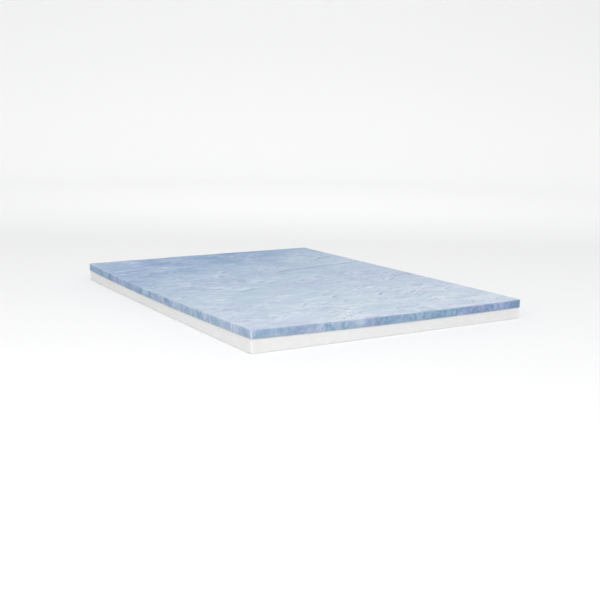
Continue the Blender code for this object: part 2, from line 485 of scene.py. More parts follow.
@dataclass
class FoamSlab:
    """One foam layer as it was cut from slab stock. Sizes are in metres.

    floor is the height of its lower face, and fine_faces says whether the whole top and the whole bottom face
    are divided finely, or only their rims.
    """

    name: str
    slot: str
    form: LyingForm
    floor: float
    thickness: float
    inset: float
    top_edge: float
    bottom_edge: float
    side_cuts: int
    side_ripples: Ripples
    fineness: MeshFineness
    finish: FoamFinish
    fill: float = 1.0
    fine_faces: tuple[bool, bool] = (False, False)
    corner: float = 0.008
    corner_steps: int = 4
    edge_steps: int = 3
    grid: float = 0.070
    end_strip: float = 0.012
    touching: float = 1e-5
    rim_fade: float = 0.0055
    corner_fade: float = 0.013

    @property
    def half_width(self) -> float:
        """Half of the plain block's width."""
        return self.form.half_width - self.inset

    @property
    def half_length(self) -> float:
        """Half of the plain block's length."""
        return self.form.half_length - self.inset

    def add_block(self) -> bpy.types.Object:
        """Add the plain block that the slab is shaped from.

        Returns:
            The block, standing on z = 0.
        """
        bpy.ops.object.select_all(action="DESELECT")
        bpy.ops.mesh.primitive_cube_add(size=1.0, location=(0.0, 0.0, self.thickness / 2))
        block = bpy.context.active_object
        block.scale = (2 * self.half_width, 2 * self.half_length, self.thickness)
        bpy.ops.object.transform_apply(location=True, rotation=False, scale=True)
        block.name = self.name
        block.data.name = self.name
        return block

    def round_edges(self, slab: bpy.types.Object) -> None:
        """Round the four upright corners, then the rims of the top and the bottom face.

        Args:
            slab: The plain block, in edit mode.
        """

        def rim_at(height: float) -> Callable[[Vector, Vector], bool]:
            """A test for edges that lie at this height."""
            return lambda a, b: max(abs(a.z - height), abs(b.z - height)) < self.touching

        pick_edges(slab, lambda a, b: (a.xy - b.xy).length < self.touching)
        bpy.ops.mesh.bevel(offset=self.corner, segments=self.corner_steps, affect="EDGES")
        for height, radius in ((self.thickness, self.top_edge), (0.0, self.bottom_edge)):
            pick_edges(slab, rim_at(height))
            bpy.ops.mesh.bevel(offset=radius, segments=self.edge_steps, affect="EDGES")

    def cut_coarse_grid(self, slab: bpy.types.Object) -> None:
        """Bisect the slab along evenly spaced lines, with a narrow strip left at each side.

        Args:
            slab: The slab, in edit mode.
        """
        for axis, half in enumerate((self.form.half_width, self.form.half_length)):
            normal = Vector((0.0, 0.0, 0.0))
            normal[axis] = 1.0
            first = self.end_strip + self.inset - half
            steps = round(-2 * first / self.grid)
            for step in range(steps + 1):
                bpy.ops.mesh.select_all(action="SELECT")
                place = first * (1 - 2 * step / steps)
                bpy.ops.mesh.bisect(plane_co=normal * place, plane_no=normal)

    def cut_fine_grid(self, slab: bpy.types.Object, fine_top: bool, fine_bottom: bool) -> None:
        """Divide the grid's cells and the sides for the fine shape.

        Args:
            slab: The slab, in edit mode, with its coarse grid.
            fine_top: Whether the whole top face is divided, or only its rim.
            fine_bottom: The same for the bottom face.
        """
        inner_x = self.half_width - self.end_strip + self.touching
        inner_y = self.half_length - self.end_strip + self.touching

        def long_level(a: Vector, b: Vector) -> bool:
            """Whether a level edge is to be divided.

            Args:
                a: One end of the edge.
                b: Its other end.

            Returns:
                False for short edges, and for those inside a face that stays coarse.
            """
            if (a.xy - b.xy).length < self.grid / 2:
                return False
            middle = (a + b) / 2
            inside = abs(middle.x) < inner_x and abs(middle.y) < inner_y
            on_top = min(a.z, b.z) > self.thickness - self.touching
            on_bottom = max(a.z, b.z) < self.touching
            return not (inside and (on_top and not fine_top or on_bottom and not fine_bottom))

        def upright(a: Vector, b: Vector) -> bool:
            """Whether an edge runs up a side."""
            return abs(a.z - b.z) > self.thickness / 3

        pick_edges(slab, long_level)
        bpy.ops.mesh.subdivide(number_cuts=self.fineness.value)
        pick_edges(slab, upright)
        bpy.ops.mesh.subdivide(number_cuts=self.side_cuts)

    def lower(self, x: Points, y: Points) -> Points:
        """Height of the lower face above the block's own lower face."""
        return self.form.height(x, y)

    def upper(self, x: Points, y: Points) -> Points:
        """Height of the upper face above the block's own lower face."""
        return self.thickness + self.form.height(x, y)

    def to_sides(self, points: Points) -> Points:
        """Each point's distance from the nearer long side, and in a second row from the nearer end."""
        return np.stack((self.half_width - np.abs(points[:, 0]), self.half_length - np.abs(points[:, 1])))

    def side_share(self, points: Points) -> Points:
        """How much each point belongs to a cut side.

        Args:
            points: The points of the flat slab.

        Returns:
            1 on a side, 0 on the top and bottom faces, and in between on the rounded rims.
        """
        rim = np.where(points[:, 2] > self.thickness / 2, self.top_edge, self.bottom_edge)
        return 1 - np.clip(self.to_sides(points).min(axis=0) / rim, 0, 1)

    def edge_share(self, points: Points) -> Points:
        """How near each point is to an outer edge of the block.

        Args:
            points: The points of the flat slab.

        Returns:
            1 at an edge, fading to 0 away from it.
        """
        z = points[:, 2]
        to_sides = self.to_sides(points)
        to_face = np.minimum(z, self.thickness - z)
        corner = np.exp(-(to_sides**2).sum(axis=0) / self.corner_fade**2)
        rim = np.exp(-(to_sides.min(axis=0) ** 2 + to_face**2) / self.rim_fade**2)
        return np.maximum(corner, rim)

    def lay(self, slab: bpy.types.Object) -> None:
        """Give the flat slab its cut outline and the uneven faces of a topper that lies on a flat surface.

        Args:
            slab: The flat slab.
        """
        points = points_of(slab)
        x, y, z = points.T
        share = z / self.thickness
        cut = self.side_share(points)
        write_attribute(slab, "cut_side", cut)
        # The edge mask feeds the paler edges and corners: scuffing, and painted highlight where the rims
        # round over.
        write_attribute(slab, "edge", self.edge_share(points))
        laid = np.empty_like(points)
        laid[:, :2] = self.form.cut_outline(points[:, :2])
        laid[:, 2] = self.floor + self.lower(x, y) * (1 - share) + self.upper(x, y) * share
        ripple = self.side_ripples.height_at(x + y, z) * cut
        outward = np.sign(points[:, :2]) * (self.to_sides(points).T < self.corner)
        laid[:, :2] += outward * ripple[:, None]
        write_points(slab, laid)

    def refine(self, slab: bpy.types.Object) -> None:
        """Add points where the layer has small detail. A plain layer has none."""

    def build(self) -> bpy.types.Object:
        """Model the layer and give it its place in the frame.

        Returns:
            The finished mesh object.
        """
        slab = self.add_block()
        start_editing(slab, "EDGE")
        self.round_edges(slab)
        self.cut_coarse_grid(slab)
        self.cut_fine_grid(slab, *self.fine_faces)
        stop_editing()
        self.refine(slab)
        self.lay(slab)
        slab.data.shade_smooth()
        slab.data.materials.clear()
        slab.data.materials.append(self.finish.build())
        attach(slab, "root")
        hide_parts(self.name)
        slab.name = self.name + "_dressed"
        triangles = sum(len(face.vertices) - 2 for face in slab.data.polygons)
        LOG.info("%s: %d triangles", slab.name, triangles)
        return slab


@dataclass
class GelFoamLayer(FoamSlab):
    """The marbled gel foam on top, with its creased skin."""

    creases: tuple[Crease, ...] = (*MAIN_CREASES, *FINE_CREASES, *MinorCreases().scatter())
    crease_cuts: int = 2
    skin_ripples: Ripples = Ripples(count=16, seed=7, lengths=(0.09, 0.32), height=0.0004)

    def lay(self, slab: bpy.types.Object) -> None:
        """Lay the layer, and store where its creases paint shade and highlight on the skin and how high in
        the cut each point is.

        Args:
            slab: The flat slab.
        """
        x, y, z = points_of(slab).T
        shade_and_highlight = sum(crease.shade_and_highlight(x, y) for crease in self.creases)
        write_attribute(slab, "crease", np.where(z > self.thickness / 2, shade_and_highlight, 0.0))
        write_attribute(slab, "height", z / self.thickness)
        super().lay(slab)

    def upper(self, x: Points, y: Points) -> Points:
        """Height of the skin, with its hollows, ripples and creases.

        Args:
            x: Places across the topper.
            y: Places along it.

        Returns:
            The height at each place, above the block's own lower face.
        """
        height = self.thickness + self.form.height(x, y) + self.skin_ripples.height_at(x, y)
        for dip in (*HOLLOWS, *self.creases):
            height = height - dip.sink(x, y)
        return height

    def refine(self, slab: bpy.types.Object) -> None:
        """Divide the top's faces once more where a crease runs.

        Args:
            slab: The flat slab.
        """
        start_editing(slab, "FACE")
        mesh = bmesh.from_edit_mesh(slab.data)
        mesh.faces.ensure_lookup_table()
        middles = np.array([face.calc_center_median() for face in mesh.faces])
        x, y, z = middles.T
        near = np.zeros(len(middles), bool)
        for crease in self.creases:
            near |= crease.reaches(x, y)
        near &= z > self.thickness - self.touching
        for index in np.flatnonzero(near):
            mesh.faces[index].select_set(True)
        bmesh.update_edit_mesh(slab.data)
        bpy.ops.mesh.subdivide(number_cuts=self.crease_cuts)
        stop_editing()


@dataclass
class SupportFoamBase(FoamSlab):
    """The white support foam, flat underneath."""

    def lower(self, x: Points, y: Points) -> Points:
        """Height of the flat underside."""
        return np.zeros_like(x)


# --------------------------------------------------------------------------- shader helpers and groups


class Wiring:
    """Adds nodes to one node tree and links them. A value is a number, a vector or colour, or an output."""

    def __init__(self, tree: bpy.types.NodeTree) -> None:
        """Keep the tree that the nodes go in."""
        self.tree = tree

    def feed(self, socket: Socket, value: Value) -> None:
        """Link an output to an input, or set the input's value.

        Args:
            socket: The input.
            value: What goes in. A colour gets the alpha that its socket asks for.
        """
        if isinstance(value, bpy.types.NodeSocket):
            self.tree.links.new(value, socket)
        elif socket.type == "RGBA":
            socket.default_value = (*value, 1.0)
        else:
            socket.default_value = value

    def node(self, kind: str, settings: dict | None = None, *values: Value, **named: Value) -> bpy.types.Node:
        """Add a node.

        Args:
            kind: The node's type.
            settings: Values for the node's own properties.
            *values: What its first inputs take, in order.
            **named: What other inputs take, by name, with _ for a space.

        Returns:
            The new node.
        """
        made = self.tree.nodes.new(kind)
        for name, value in (settings or {}).items():
            setattr(made, name, value)
        for socket, value in zip(made.inputs, values):
            self.feed(socket, value)
        for name, value in named.items():
            self.feed(made.inputs[name.replace("_", " ")], value)
        return made

    def stored(self, name: str) -> Socket:
        """The mesh attribute of this name."""
        return self.node("ShaderNodeAttribute", {"attribute_name": name}).outputs["Fac"]

    def math(self, kind: str, first: Value, second: Value = 0.0, clamp: bool = False) -> Socket:
        """One step of arithmetic, kept between 0 and 1 if clamp is set."""
        return self.node("ShaderNodeMath", {"operation": kind, "use_clamp": clamp}, first, second).outputs[0]

    def product(self, first: Value, second: Value, clamp: bool = False) -> Socket:
        """The product of two numbers, kept between 0 and 1 if clamp is set."""
        return self.math("MULTIPLY", first, second, clamp)

    def remap(self, value: Value, span: Span, onto: Span = (0.0, 1.0)) -> Socket:
        """A span of values, stretched smoothly onto another."""
        step = self.node("ShaderNodeMapRange", {"interpolation_type": "SMOOTHSTEP"}, value, *span, *onto)
        return step.outputs["Result"]

    def scaled(self, vector: Value, factor: Value) -> Socket:
        """A vector or colour times a number."""
        step = self.node("ShaderNodeVectorMath", {"operation": "SCALE"}, vector, Scale=factor)
        return step.outputs["Vector"]

    def shifted(self, vector: Value, shift: Value) -> Socket:
        """The sum of two vectors."""
        return self.node("ShaderNodeVectorMath", {"operation": "ADD"}, vector, shift).outputs["Vector"]

    def distance(self, place: Value, spot: Value) -> Socket:
        """The distance between two places."""
        return self.node("ShaderNodeVectorMath", {"operation": "DISTANCE"}, place, spot).outputs["Value"]

    def blend(self, share: Value, first: Value, second: Value, kind: str = "MIX") -> Socket:
        """Blend two colours.

        Args:
            share: How much of the second there is.
            first: The first colour.
            second: The second colour.
            kind: The way of blending.

        Returns:
            The blended colour's output.
        """
        mixer = self.node("ShaderNodeMix", {"data_type": "RGBA", "blend_type": kind})
        # The node also holds hidden sockets for numbers and vectors, so the colours' own are taken by number.
        for number, value in ((0, share), (6, first), (7, second)):
            self.feed(mixer.inputs[number], value)
        return mixer.outputs[2]

    def tinted(self, colour: Value, share: Value, tints: ColourPair) -> Socket:
        """A colour times another, which goes from the first tint to the second with the share."""
        return self.blend(1.0, colour, self.blend(share, *tints), "MULTIPLY")


NOISE_MEAN = 0.5


@dataclass(frozen=True)
class SoftNoise:
    """Cloudy noise: repeats in a metre, octaves and their roughness, and the span of values for a mask."""

    scale: float
    detail: float
    roughness: float = 0.5
    span: Span = (0.0, 1.0)

    def texture(self, wiring: Wiring, place: Value) -> bpy.types.Node:
        """The noise's node."""
        return wiring.node(
            "ShaderNodeTexNoise", Vector=place, Scale=self.scale, Detail=self.detail, Roughness=self.roughness
        )

    def value(self, wiring: Wiring, place: Value) -> Socket:
        """The plain noise."""
        return self.texture(wiring, place).outputs["Fac"]

    def centred(self, wiring: Wiring, place: Value) -> Socket:
        """The noise less its mean."""
        return wiring.math("SUBTRACT", self.value(wiring, place), NOISE_MEAN)

    def mask(self, wiring: Wiring, place: Value, onto: Span = (0.0, 1.0)) -> Socket:
        """The noise with its span stretched onto another."""
        return wiring.remap(self.value(wiring, place), self.span, onto)


@dataclass(frozen=True)
class NodeGroup:
    """A shader node group with named inputs and outputs, built once."""

    name: str
    inputs: GroupInputs
    outputs: tuple[str, ...]

    def tree(self) -> bpy.types.NodeTree:
        """Find the group, or make it when it is first asked for.

        Returns:
            The group's node tree.
        """
        made = bpy.data.node_groups.get(self.name)
        if made is None:
            made = bpy.data.node_groups.new(self.name, "ShaderNodeTree")
            for name, kind, value in self.inputs:
                socket = made.interface.new_socket(name, in_out="INPUT", socket_type=kind)
                if kind == FLOAT:
                    socket.default_value = value
            for name in self.outputs:
                made.interface.new_socket(name, in_out="OUTPUT", socket_type=FLOAT)
            wiring = Wiring(made)
            self.wire(wiring, wiring.node("NodeGroupInput").outputs, wiring.node("NodeGroupOutput").inputs)
        return made

    def wire(self, wiring: Wiring, given: Sockets, result: Sockets) -> None:
        """Lay the group's nodes between what it is given and its result."""
        raise NotImplementedError

    def place(self, wiring: Wiring, **named: Value) -> Sockets:
        """Place the group in a material, feed its named inputs, and give its outputs."""
        return wiring.node("ShaderNodeGroup", {"node_tree": self.tree()}, **named).outputs


@dataclass(frozen=True)
class MarbleSwirl(NodeGroup):
    """Marbling stirred into the foam: hue, soft patches, thin veins, streaks and small wisps, painted with a
    shaded and a lit side as if they stood up from the skin, which is painted shade and highlight.
    """

    name: str = "marble_swirl"
    inputs: GroupInputs = (("Vector", VECTOR, 0.0), ("Size", FLOAT, 1.0), ("Stir", FLOAT, 0.08))
    outputs: tuple[str, ...] = ("Hue", "Patches", "Veins", "Streaks", "WispShading", "Mottle", "Busy")
    stirs: tuple[tuple[SoftNoise, float], ...] = tuple(
        (SoftNoise(scale, 2.0, 0.55), share) for scale, share in ((3.4, 4.0), (10.5, 1.44), (31.0, 0.52))
    )
    masks: tuple[tuple[str, SoftNoise], ...] = (
        ("Hue", SoftNoise(3.2, 2.0, span=(0.36, 0.64))),
        ("Busy", SoftNoise(3.6, 2.0, span=(0.42, 0.60))),
        ("Patches", SoftNoise(7.5, 4.0, span=(0.36, 0.64))),
        ("Streaks", SoftNoise(30.0, 4.0, 0.58, (0.44, 0.68))),
        ("Mottle", SoftNoise(62.0, 4.0, 0.62, (0.34, 0.66))),
    )
    threads: SoftNoise = SoftNoise(11.0, 4.0)
    thread_span: Span = (0.960, 0.998)
    thread_gate: SoftNoise = SoftNoise(5.0, 1.0, span=(0.42, 0.60))
    wisps: SoftNoise = SoftNoise(24.0, 3.0)
    wisp_shift: Place = (0.0015, 0.0060, 0.002)
    wisp_gate: SoftNoise = SoftNoise(8.0, 1.0, span=(0.40, 0.66))
    wisp_strength: float = 14.0

    def wire(self, wiring: Wiring, given: Sockets, result: Sockets) -> None:
        """Stir the coordinates, then read the marbling's parts from noises.

        Args:
            wiring: The group's wiring.
            given: The group's inputs.
            result: The group's outputs.
        """
        place = wiring.scaled(given["Vector"], given["Size"])
        for noise, share in self.stirs:
            push = wiring.shifted(noise.texture(wiring, place).outputs["Color"], 3 * (-NOISE_MEAN,))
            place = wiring.shifted(place, wiring.scaled(push, wiring.product(given["Stir"], share)))
        for name, noise in self.masks:
            wiring.feed(result[name], noise.mask(wiring, place))
        off_mean = wiring.math("ABSOLUTE", self.threads.centred(wiring, place))
        thread = wiring.remap(wiring.math("SUBTRACT", 1.0, off_mean), self.thread_span)
        wiring.feed(result["Veins"], wiring.product(thread, self.thread_gate.mask(wiring, place)))
        # The wisps are the noise's slope across a small shift: painted shade on one side, painted highlight
        # on the other.
        beside = self.wisps.value(wiring, wiring.shifted(place, self.wisp_shift))
        slope = wiring.math("SUBTRACT", self.wisps.value(wiring, place), beside)
        gate = wiring.product(self.wisp_gate.mask(wiring, place), self.wisp_strength)
        wiring.feed(result["WispShading"], wiring.product(slope, gate))


@dataclass(frozen=True)
class FoamCells(NodeGroup):
    """Open foam cells: their relief and the shade of their mouths."""

    name: str = "foam_cells"
    inputs: GroupInputs = (("Vector", VECTOR, 0.0), ("Cells", FLOAT, 900.0), ("Clumps", FLOAT, 90.0))
    outputs: tuple[str, ...] = ("Height", "Shade")
    mouth_span: Span = (0.12, 0.62)
    mouth_relief: float = 0.55
    clump_relief: float = 0.9

    def wire(self, wiring: Wiring, given: Sockets, result: Sockets) -> None:
        """Read the cell mouths from a Voronoi texture, uneven in clumps.

        Args:
            wiring: The group's wiring.
            given: The group's inputs.
            result: The group's outputs.
        """
        vector = given["Vector"]
        cells = wiring.node("ShaderNodeTexVoronoi", {"feature": "F1"}, Vector=vector, Scale=given["Cells"])
        mouths = wiring.remap(cells.outputs["Distance"], self.mouth_span)
        clumps = SoftNoise(given["Clumps"], 3.0, 0.6).value(wiring, vector)
        relief = (wiring.product(mouths, self.mouth_relief), wiring.product(clumps, self.clump_relief))
        wiring.feed(result["Height"], wiring.math("ADD", *relief))
        wiring.feed(result["Shade"], wiring.product(mouths, clumps))


@dataclass(frozen=True)
class WornLitEdge(NodeGroup):
    """Edges painted paler, unevenly along their length: partly scuffing, partly painted highlight where
    rounded edges and corners catch light.
    """

    name: str = "worn_lit_edge"
    inputs: GroupInputs = (("Vector", VECTOR, 0.0), ("Edge", FLOAT, 0.0), ("Amount", FLOAT, 0.5))
    outputs: tuple[str, ...] = ("Mask",)
    patches: SoftNoise = SoftNoise(14.0, 3.0, 0.6, (0.25, 0.7))
    wear_and_highlight: Span = (0.45, 1.0)

    def wire(self, wiring: Wiring, given: Sockets, result: Sockets) -> None:
        """Fade the edge mask with a slow noise."""
        worn_and_lit = wiring.product(given["Edge"], self.patches.mask(wiring, given["Vector"], self.wear_and_highlight))
        wiring.feed(result["Mask"], wiring.product(worn_and_lit, given["Amount"], clamp=True))


# --------------------------------------------------------------------------- finishes


def new_material(name: str) -> tuple[bpy.types.Material, Wiring, bpy.types.Node]:
    """Make an empty node material.

    Args:
        name: The material's name.

    Returns:
        The material, its wiring and its Principled BSDF.
    """
    material = bpy.data.materials.new(name)
    material.use_nodes = True
    shader = material.node_tree.nodes["Principled BSDF"]
    return material, Wiring(material.node_tree), shader


@dataclass(frozen=True)
class FoamLook:
    """What one foam brings to its material: its colour, its roughness and the parts of its relief."""

    colour: Socket
    roughness: Socket
    reliefs: tuple[Socket, ...]


@dataclass(frozen=True)
class FoamFinish:
    """What both foams share: open cells that shade and roughen them, and edges painted paler, partly as
    scuffing and partly as painted highlight.

    cells and clumps count in a metre, and cell_depth is in metres. settings are the shader's values that are
    the same all over.
    """

    name: str
    cells: float
    clumps: float
    cell_shades: Span
    cell_depth: float
    wear_and_highlight: float
    rubbed_and_lit: Colour
    settings: tuple[tuple[str, float], ...] = (("Specular IOR Level", 0.25),)
    shade_span: Span = (0.0, 0.6)

    def look(self, wiring: Wiring, place: Socket) -> FoamLook:
        """The foam's own colour, roughness and relief at each place."""
        raise NotImplementedError

    def build(self) -> bpy.types.Material:
        """Make the material.

        Returns:
            The new material.
        """
        material, wiring, shader = new_material(self.name)
        place = wiring.node("ShaderNodeTexCoord").outputs["Object"]
        look = self.look(wiring, place)
        # Edges and corners painted paler: partly scuffing, partly painted highlight.
        worn_and_lit = WornLitEdge().place(wiring, Vector=place, Edge=wiring.stored("edge"), Amount=self.wear_and_highlight)["Mask"]
        colour = wiring.blend(worn_and_lit, look.colour, self.rubbed_and_lit)
        cells = FoamCells().place(wiring, Vector=place, Cells=self.cells, Clumps=self.clumps)
        shade = wiring.remap(cells["Shade"], self.shade_span, self.cell_shades)
        relief = cells["Height"]
        for part in look.reliefs:
            relief = wiring.math("ADD", relief, part)
        bump = wiring.node("ShaderNodeBump", Strength=1.0, Distance=self.cell_depth, Height=relief)
        wiring.feed(shader.inputs["Base Color"], wiring.scaled(colour, shade))
        wiring.feed(shader.inputs["Roughness"], look.roughness)
        wiring.feed(shader.inputs["Normal"], bump.outputs["Normal"])
        for name, value in self.settings:
            shader.inputs[name].default_value = value
        return material


@dataclass(frozen=True)
class Spot:
    """A soft spot in the skin: its middle, its reach in metres, its strength and the colour it leans to."""

    middle: Place
    reach: float
    strength: float
    colour: Colour


@dataclass(frozen=True)
class GelFoamFinish(FoamFinish):
    """Marbled gel foam: a skin painted paler towards the foot end as painted light and sheen, and darker
    towards the head end as painted shade, and deeper colours on the cut sides, painted lighter near the
    foot-left corner and darker away from it as painted light falloff.

    Each pair of colours belongs to the dark and the light parts of the marbling. The shares for wisps and
    creases say how strongly they darken and pale the skin: painted shade in grooves and on one side of the
    wisps, painted highlight on lips and on their other side. Places and reaches are in metres.
    """

    name: str = "marbled_gel_foam"
    cells: float = 850.0
    clumps: float = 120.0
    cell_shades: Span = (1.05, 0.91)
    cell_depth: float = 0.0005
    wear_and_highlight: float = 0.28
    rubbed_and_lit: Colour = (0.690, 0.765, 0.840)
    settings: tuple[tuple[str, float], ...] = (
        ("Specular IOR Level", 0.25),
        ("Sheen Weight", 0.12),
        ("Sheen Roughness", 0.6),
    )
    roughness: Span = (0.88, 0.78)
    streak_relief: float = -0.8
    vein_relief: float = -0.8
    # Dark blue: marbling, and painted shade in creases and wisps. Pale blue: pale spots, and painted
    # highlight.
    deep_and_shade: Colour = (0.160, 0.275, 0.460)
    pale_and_highlight: Colour = (0.790, 0.850, 0.905)

    marble_turn: float = -14.0
    marble_stretch: Place = (0.80, 1.20, 0.65)
    marble_shift: Place = (0.0, 0.0, -0.03)
    marble_stir: float = 0.05
    tinge: SoftNoise = SoftNoise(8.5, 1.0, span=(0.40, 0.60))

    # From foot to head the skin goes from painted light and sheen to painted shade.
    skin_foot_lit: Colour = (0.668, 0.736, 0.820)
    skin_middle: Colour = (0.494, 0.590, 0.722)
    skin_head_shaded: Colour = (0.340, 0.459, 0.652)
    foot_to_middle: Span = (-1.15, 0.35)
    middle_to_head: Span = (0.36, 0.86)
    head_slant: float = 0.38
    head_drift: SoftNoise = SoftNoise(2.2, 2.0)
    head_drift_share: float = 0.7
    foot_tones: ColourPair = ((0.886, 0.915, 0.950), (1.060, 1.050, 1.036))
    head_tones: ColourPair = ((0.800, 0.870, 0.940), (1.130, 1.090, 1.040))
    skin_hues: ColourPair = ((0.969, 1.008, 0.987), (1.007, 0.989, 1.021))
    skin_tints: ColourPair = ((0.986, 1.003, 0.996), (1.011, 0.997, 1.005))
    spots: tuple[Spot, ...] = (
        # A painted highlight at the head-left corner, where the lifted foam catches more light.
        Spot((-0.76, 1.02, 0.10), 0.50, 0.30, pale_and_highlight),
        Spot((0.70, 0.38, 0.10), 0.38, 0.34, pale_and_highlight),
        Spot((0.14, 0.83, 0.10), 0.36, 0.20, deep_and_shade),
    )
    busy_streaks: float = 0.22
    streaks_along: Span = (-0.3, 0.8)
    streak_shares: Span = (0.04, 0.26)
    vein_shares: Span = (0.12, 0.36)
    wisp_shade_and_highlight: Span = (-0.30, 0.36)
    crease_shade_and_highlight: Span = (0.60, -0.85)

    # The cut sides are painted lighter near the foot-left corner and darker away from it: painted light
    # falloff.
    cut_near_lit: ColourPair = ((0.310, 0.415, 0.560), (0.605, 0.670, 0.770))
    cut_far_shaded: ColourPair = ((0.105, 0.220, 0.440), (0.385, 0.495, 0.715))
    cut_hues: ColourPair = ((0.915, 1.020, 0.985), (1.005, 0.980, 1.025))
    cut_tints: ColourPair = ((0.940, 1.010, 0.990), (1.045, 0.985, 1.020))
    cut_slant: float = 0.75
    near_to_far: Span = (-1.6, 0.0)
    cut_streaks: Span = (0.36, 0.66)
    cut_veins: float = 0.80
    cut_mottle: Span = (0.24, 0.44)
    teal: Colour = (0.115, 0.262, 0.410)
    teal_corner: Place = (0.79, -1.02, 0.08)
    teal_reach: Span = (0.03, 0.20)
    teal_strength: float = 0.7
    seam_shade: Colour = (0.93, 0.88, 0.82)
    seam_reach: float = 0.40

    def look(self, wiring: Wiring, place: Socket) -> FoamLook:
        """The marbling on the skin and on the cut sides.

        Args:
            wiring: The material's wiring.
            place: The object coordinates.

        Returns:
            The gel foam's own colour, roughness and relief.
        """
        laid = wiring.node(
            "ShaderNodeMapping", Vector=place, Location=self.marble_shift, Scale=self.marble_stretch,
            Rotation=(0.0, 0.0, radians(self.marble_turn)),
        )
        swirl = MarbleSwirl().place(wiring, Vector=laid.outputs["Vector"], Size=1.0, Stir=self.marble_stir)
        skin = self.skin(wiring, place, swirl)
        cut_face = self.cut_face(wiring, place, swirl)
        reliefs = (("Streaks", self.streak_relief), ("Veins", self.vein_relief))
        return FoamLook(
            colour=wiring.blend(wiring.stored("cut_side"), skin, cut_face),
            roughness=wiring.remap(swirl["Patches"], (0.0, 1.0), self.roughness),
            reliefs=tuple(wiring.product(swirl[name], height) for name, height in reliefs),
        )

    def towards_head(self, wiring: Wiring, place: Socket) -> Socket:
        """How far towards the head end a place counts, in metres: it sets the painted light at the foot end,
        the painted shade at the head end and the share of streaks.

        Args:
            wiring: The material's wiring.
            place: The object coordinates.

        Returns:
            The distance's output. It is further on the left side, and uneven.
        """
        parts = wiring.node("ShaderNodeSeparateXYZ", Vector=place).outputs
        along = wiring.math("SUBTRACT", parts["Y"], wiring.product(parts["X"], self.head_slant))
        drift = wiring.product(self.head_drift.centred(wiring, place), self.head_drift_share)
        return wiring.math("ADD", along, drift)

    def skin(self, wiring: Wiring, place: Socket, swirl: Sockets) -> Socket:
        """Colour of the lying surface, calmer at the foot end, painted paler there as painted light and
        darker towards the head as painted shade, with its creases and wisps.

        Args:
            wiring: The material's wiring.
            place: The object coordinates.
            swirl: The marbling's outputs.

        Returns:
            The colour's output.
        """
        along = self.towards_head(wiring, place)
        # Painted light at the foot end, painted shade towards the head end, further on the left side.
        to_head = wiring.remap(along, self.middle_to_head)
        skin = wiring.blend(wiring.remap(along, self.foot_to_middle), self.skin_foot_lit, self.skin_middle)
        skin = wiring.blend(to_head, skin, self.skin_head_shaded)
        for spot in self.spots:
            away = wiring.distance(place, spot.middle)
            share = wiring.remap(away, (0.0, spot.reach), (spot.strength, 0.0))
            skin = wiring.blend(share, skin, spot.colour)
        foot_tone = wiring.blend(swirl["Patches"], *self.foot_tones)
        head_tone = wiring.blend(swirl["Patches"], *self.head_tones)
        skin = wiring.blend(1.0, skin, wiring.blend(to_head, foot_tone, head_tone), "MULTIPLY")
        skin = wiring.tinted(skin, swirl["Hue"], self.skin_hues)
        skin = wiring.tinted(skin, self.tinge.mask(wiring, place), self.skin_tints)
        busy = wiring.product(swirl["Busy"], self.busy_streaks)
        share = wiring.math("ADD", busy, wiring.remap(along, self.streaks_along, self.streak_shares))
        skin = wiring.blend(wiring.product(swirl["Streaks"], share), skin, self.deep_and_shade)
        share = wiring.remap(swirl["Busy"], (0.0, 1.0), self.vein_shares)
        skin = wiring.blend(wiring.product(swirl["Veins"], share), skin, self.deep_and_shade)
        # Painted shade in crease grooves and on one side of the wisps, painted highlight on the lips and the
        # other side.
        marks = ((swirl["WispShading"], self.wisp_shade_and_highlight), (wiring.stored("crease"), self.crease_shade_and_highlight))
        for mark, shares in marks:
            for share, colour in zip(shares, (self.deep_and_shade, self.pale_and_highlight)):
                skin = wiring.blend(wiring.product(mark, share, clamp=True), skin, colour)
        return skin

    def cut_face(self, wiring: Wiring, place: Socket, swirl: Sockets) -> Socket:
        """Colour of the cut sides, where the marbling shows at full strength, painted lighter near the
        foot-left corner and darker away from it as painted light falloff.

        Args:
            wiring: The material's wiring.
            place: The object coordinates.
            swirl: The marbling's outputs.

        Returns:
            The colour's output.
        """
        parts = wiring.node("ShaderNodeSeparateXYZ", Vector=place).outputs
        away = wiring.math("ADD", parts["X"], wiring.product(parts["Y"], self.cut_slant))
        away = wiring.remap(away, self.near_to_far)
        near = wiring.blend(swirl["Patches"], *self.cut_near_lit)
        face = wiring.blend(away, near, wiring.blend(swirl["Patches"], *self.cut_far_shaded))
        share = wiring.remap(away, (0.0, 1.0), self.cut_streaks)
        face = wiring.blend(wiring.product(swirl["Streaks"], share), face, self.deep_and_shade)
        face = wiring.blend(wiring.product(swirl["Veins"], self.cut_veins), face, self.deep_and_shade)
        mottle = wiring.blend(swirl["Mottle"], self.deep_and_shade, self.cut_near_lit[1])
        face = wiring.blend(wiring.remap(away, (0.0, 1.0), self.cut_mottle), face, mottle)
        to_corner = wiring.distance(place, self.teal_corner)
        share = wiring.remap(to_corner, self.teal_reach, (self.teal_strength, 0.0))
        face = wiring.blend(share, face, self.teal)
        face = wiring.tinted(face, swirl["Hue"], self.cut_hues)
        face = wiring.tinted(face, self.tinge.mask(wiring, place), self.cut_tints)
        share = wiring.remap(wiring.stored("height"), (0.0, self.seam_reach), (1.0, 0.0))
        return wiring.blend(share, face, self.seam_shade, "MULTIPLY")


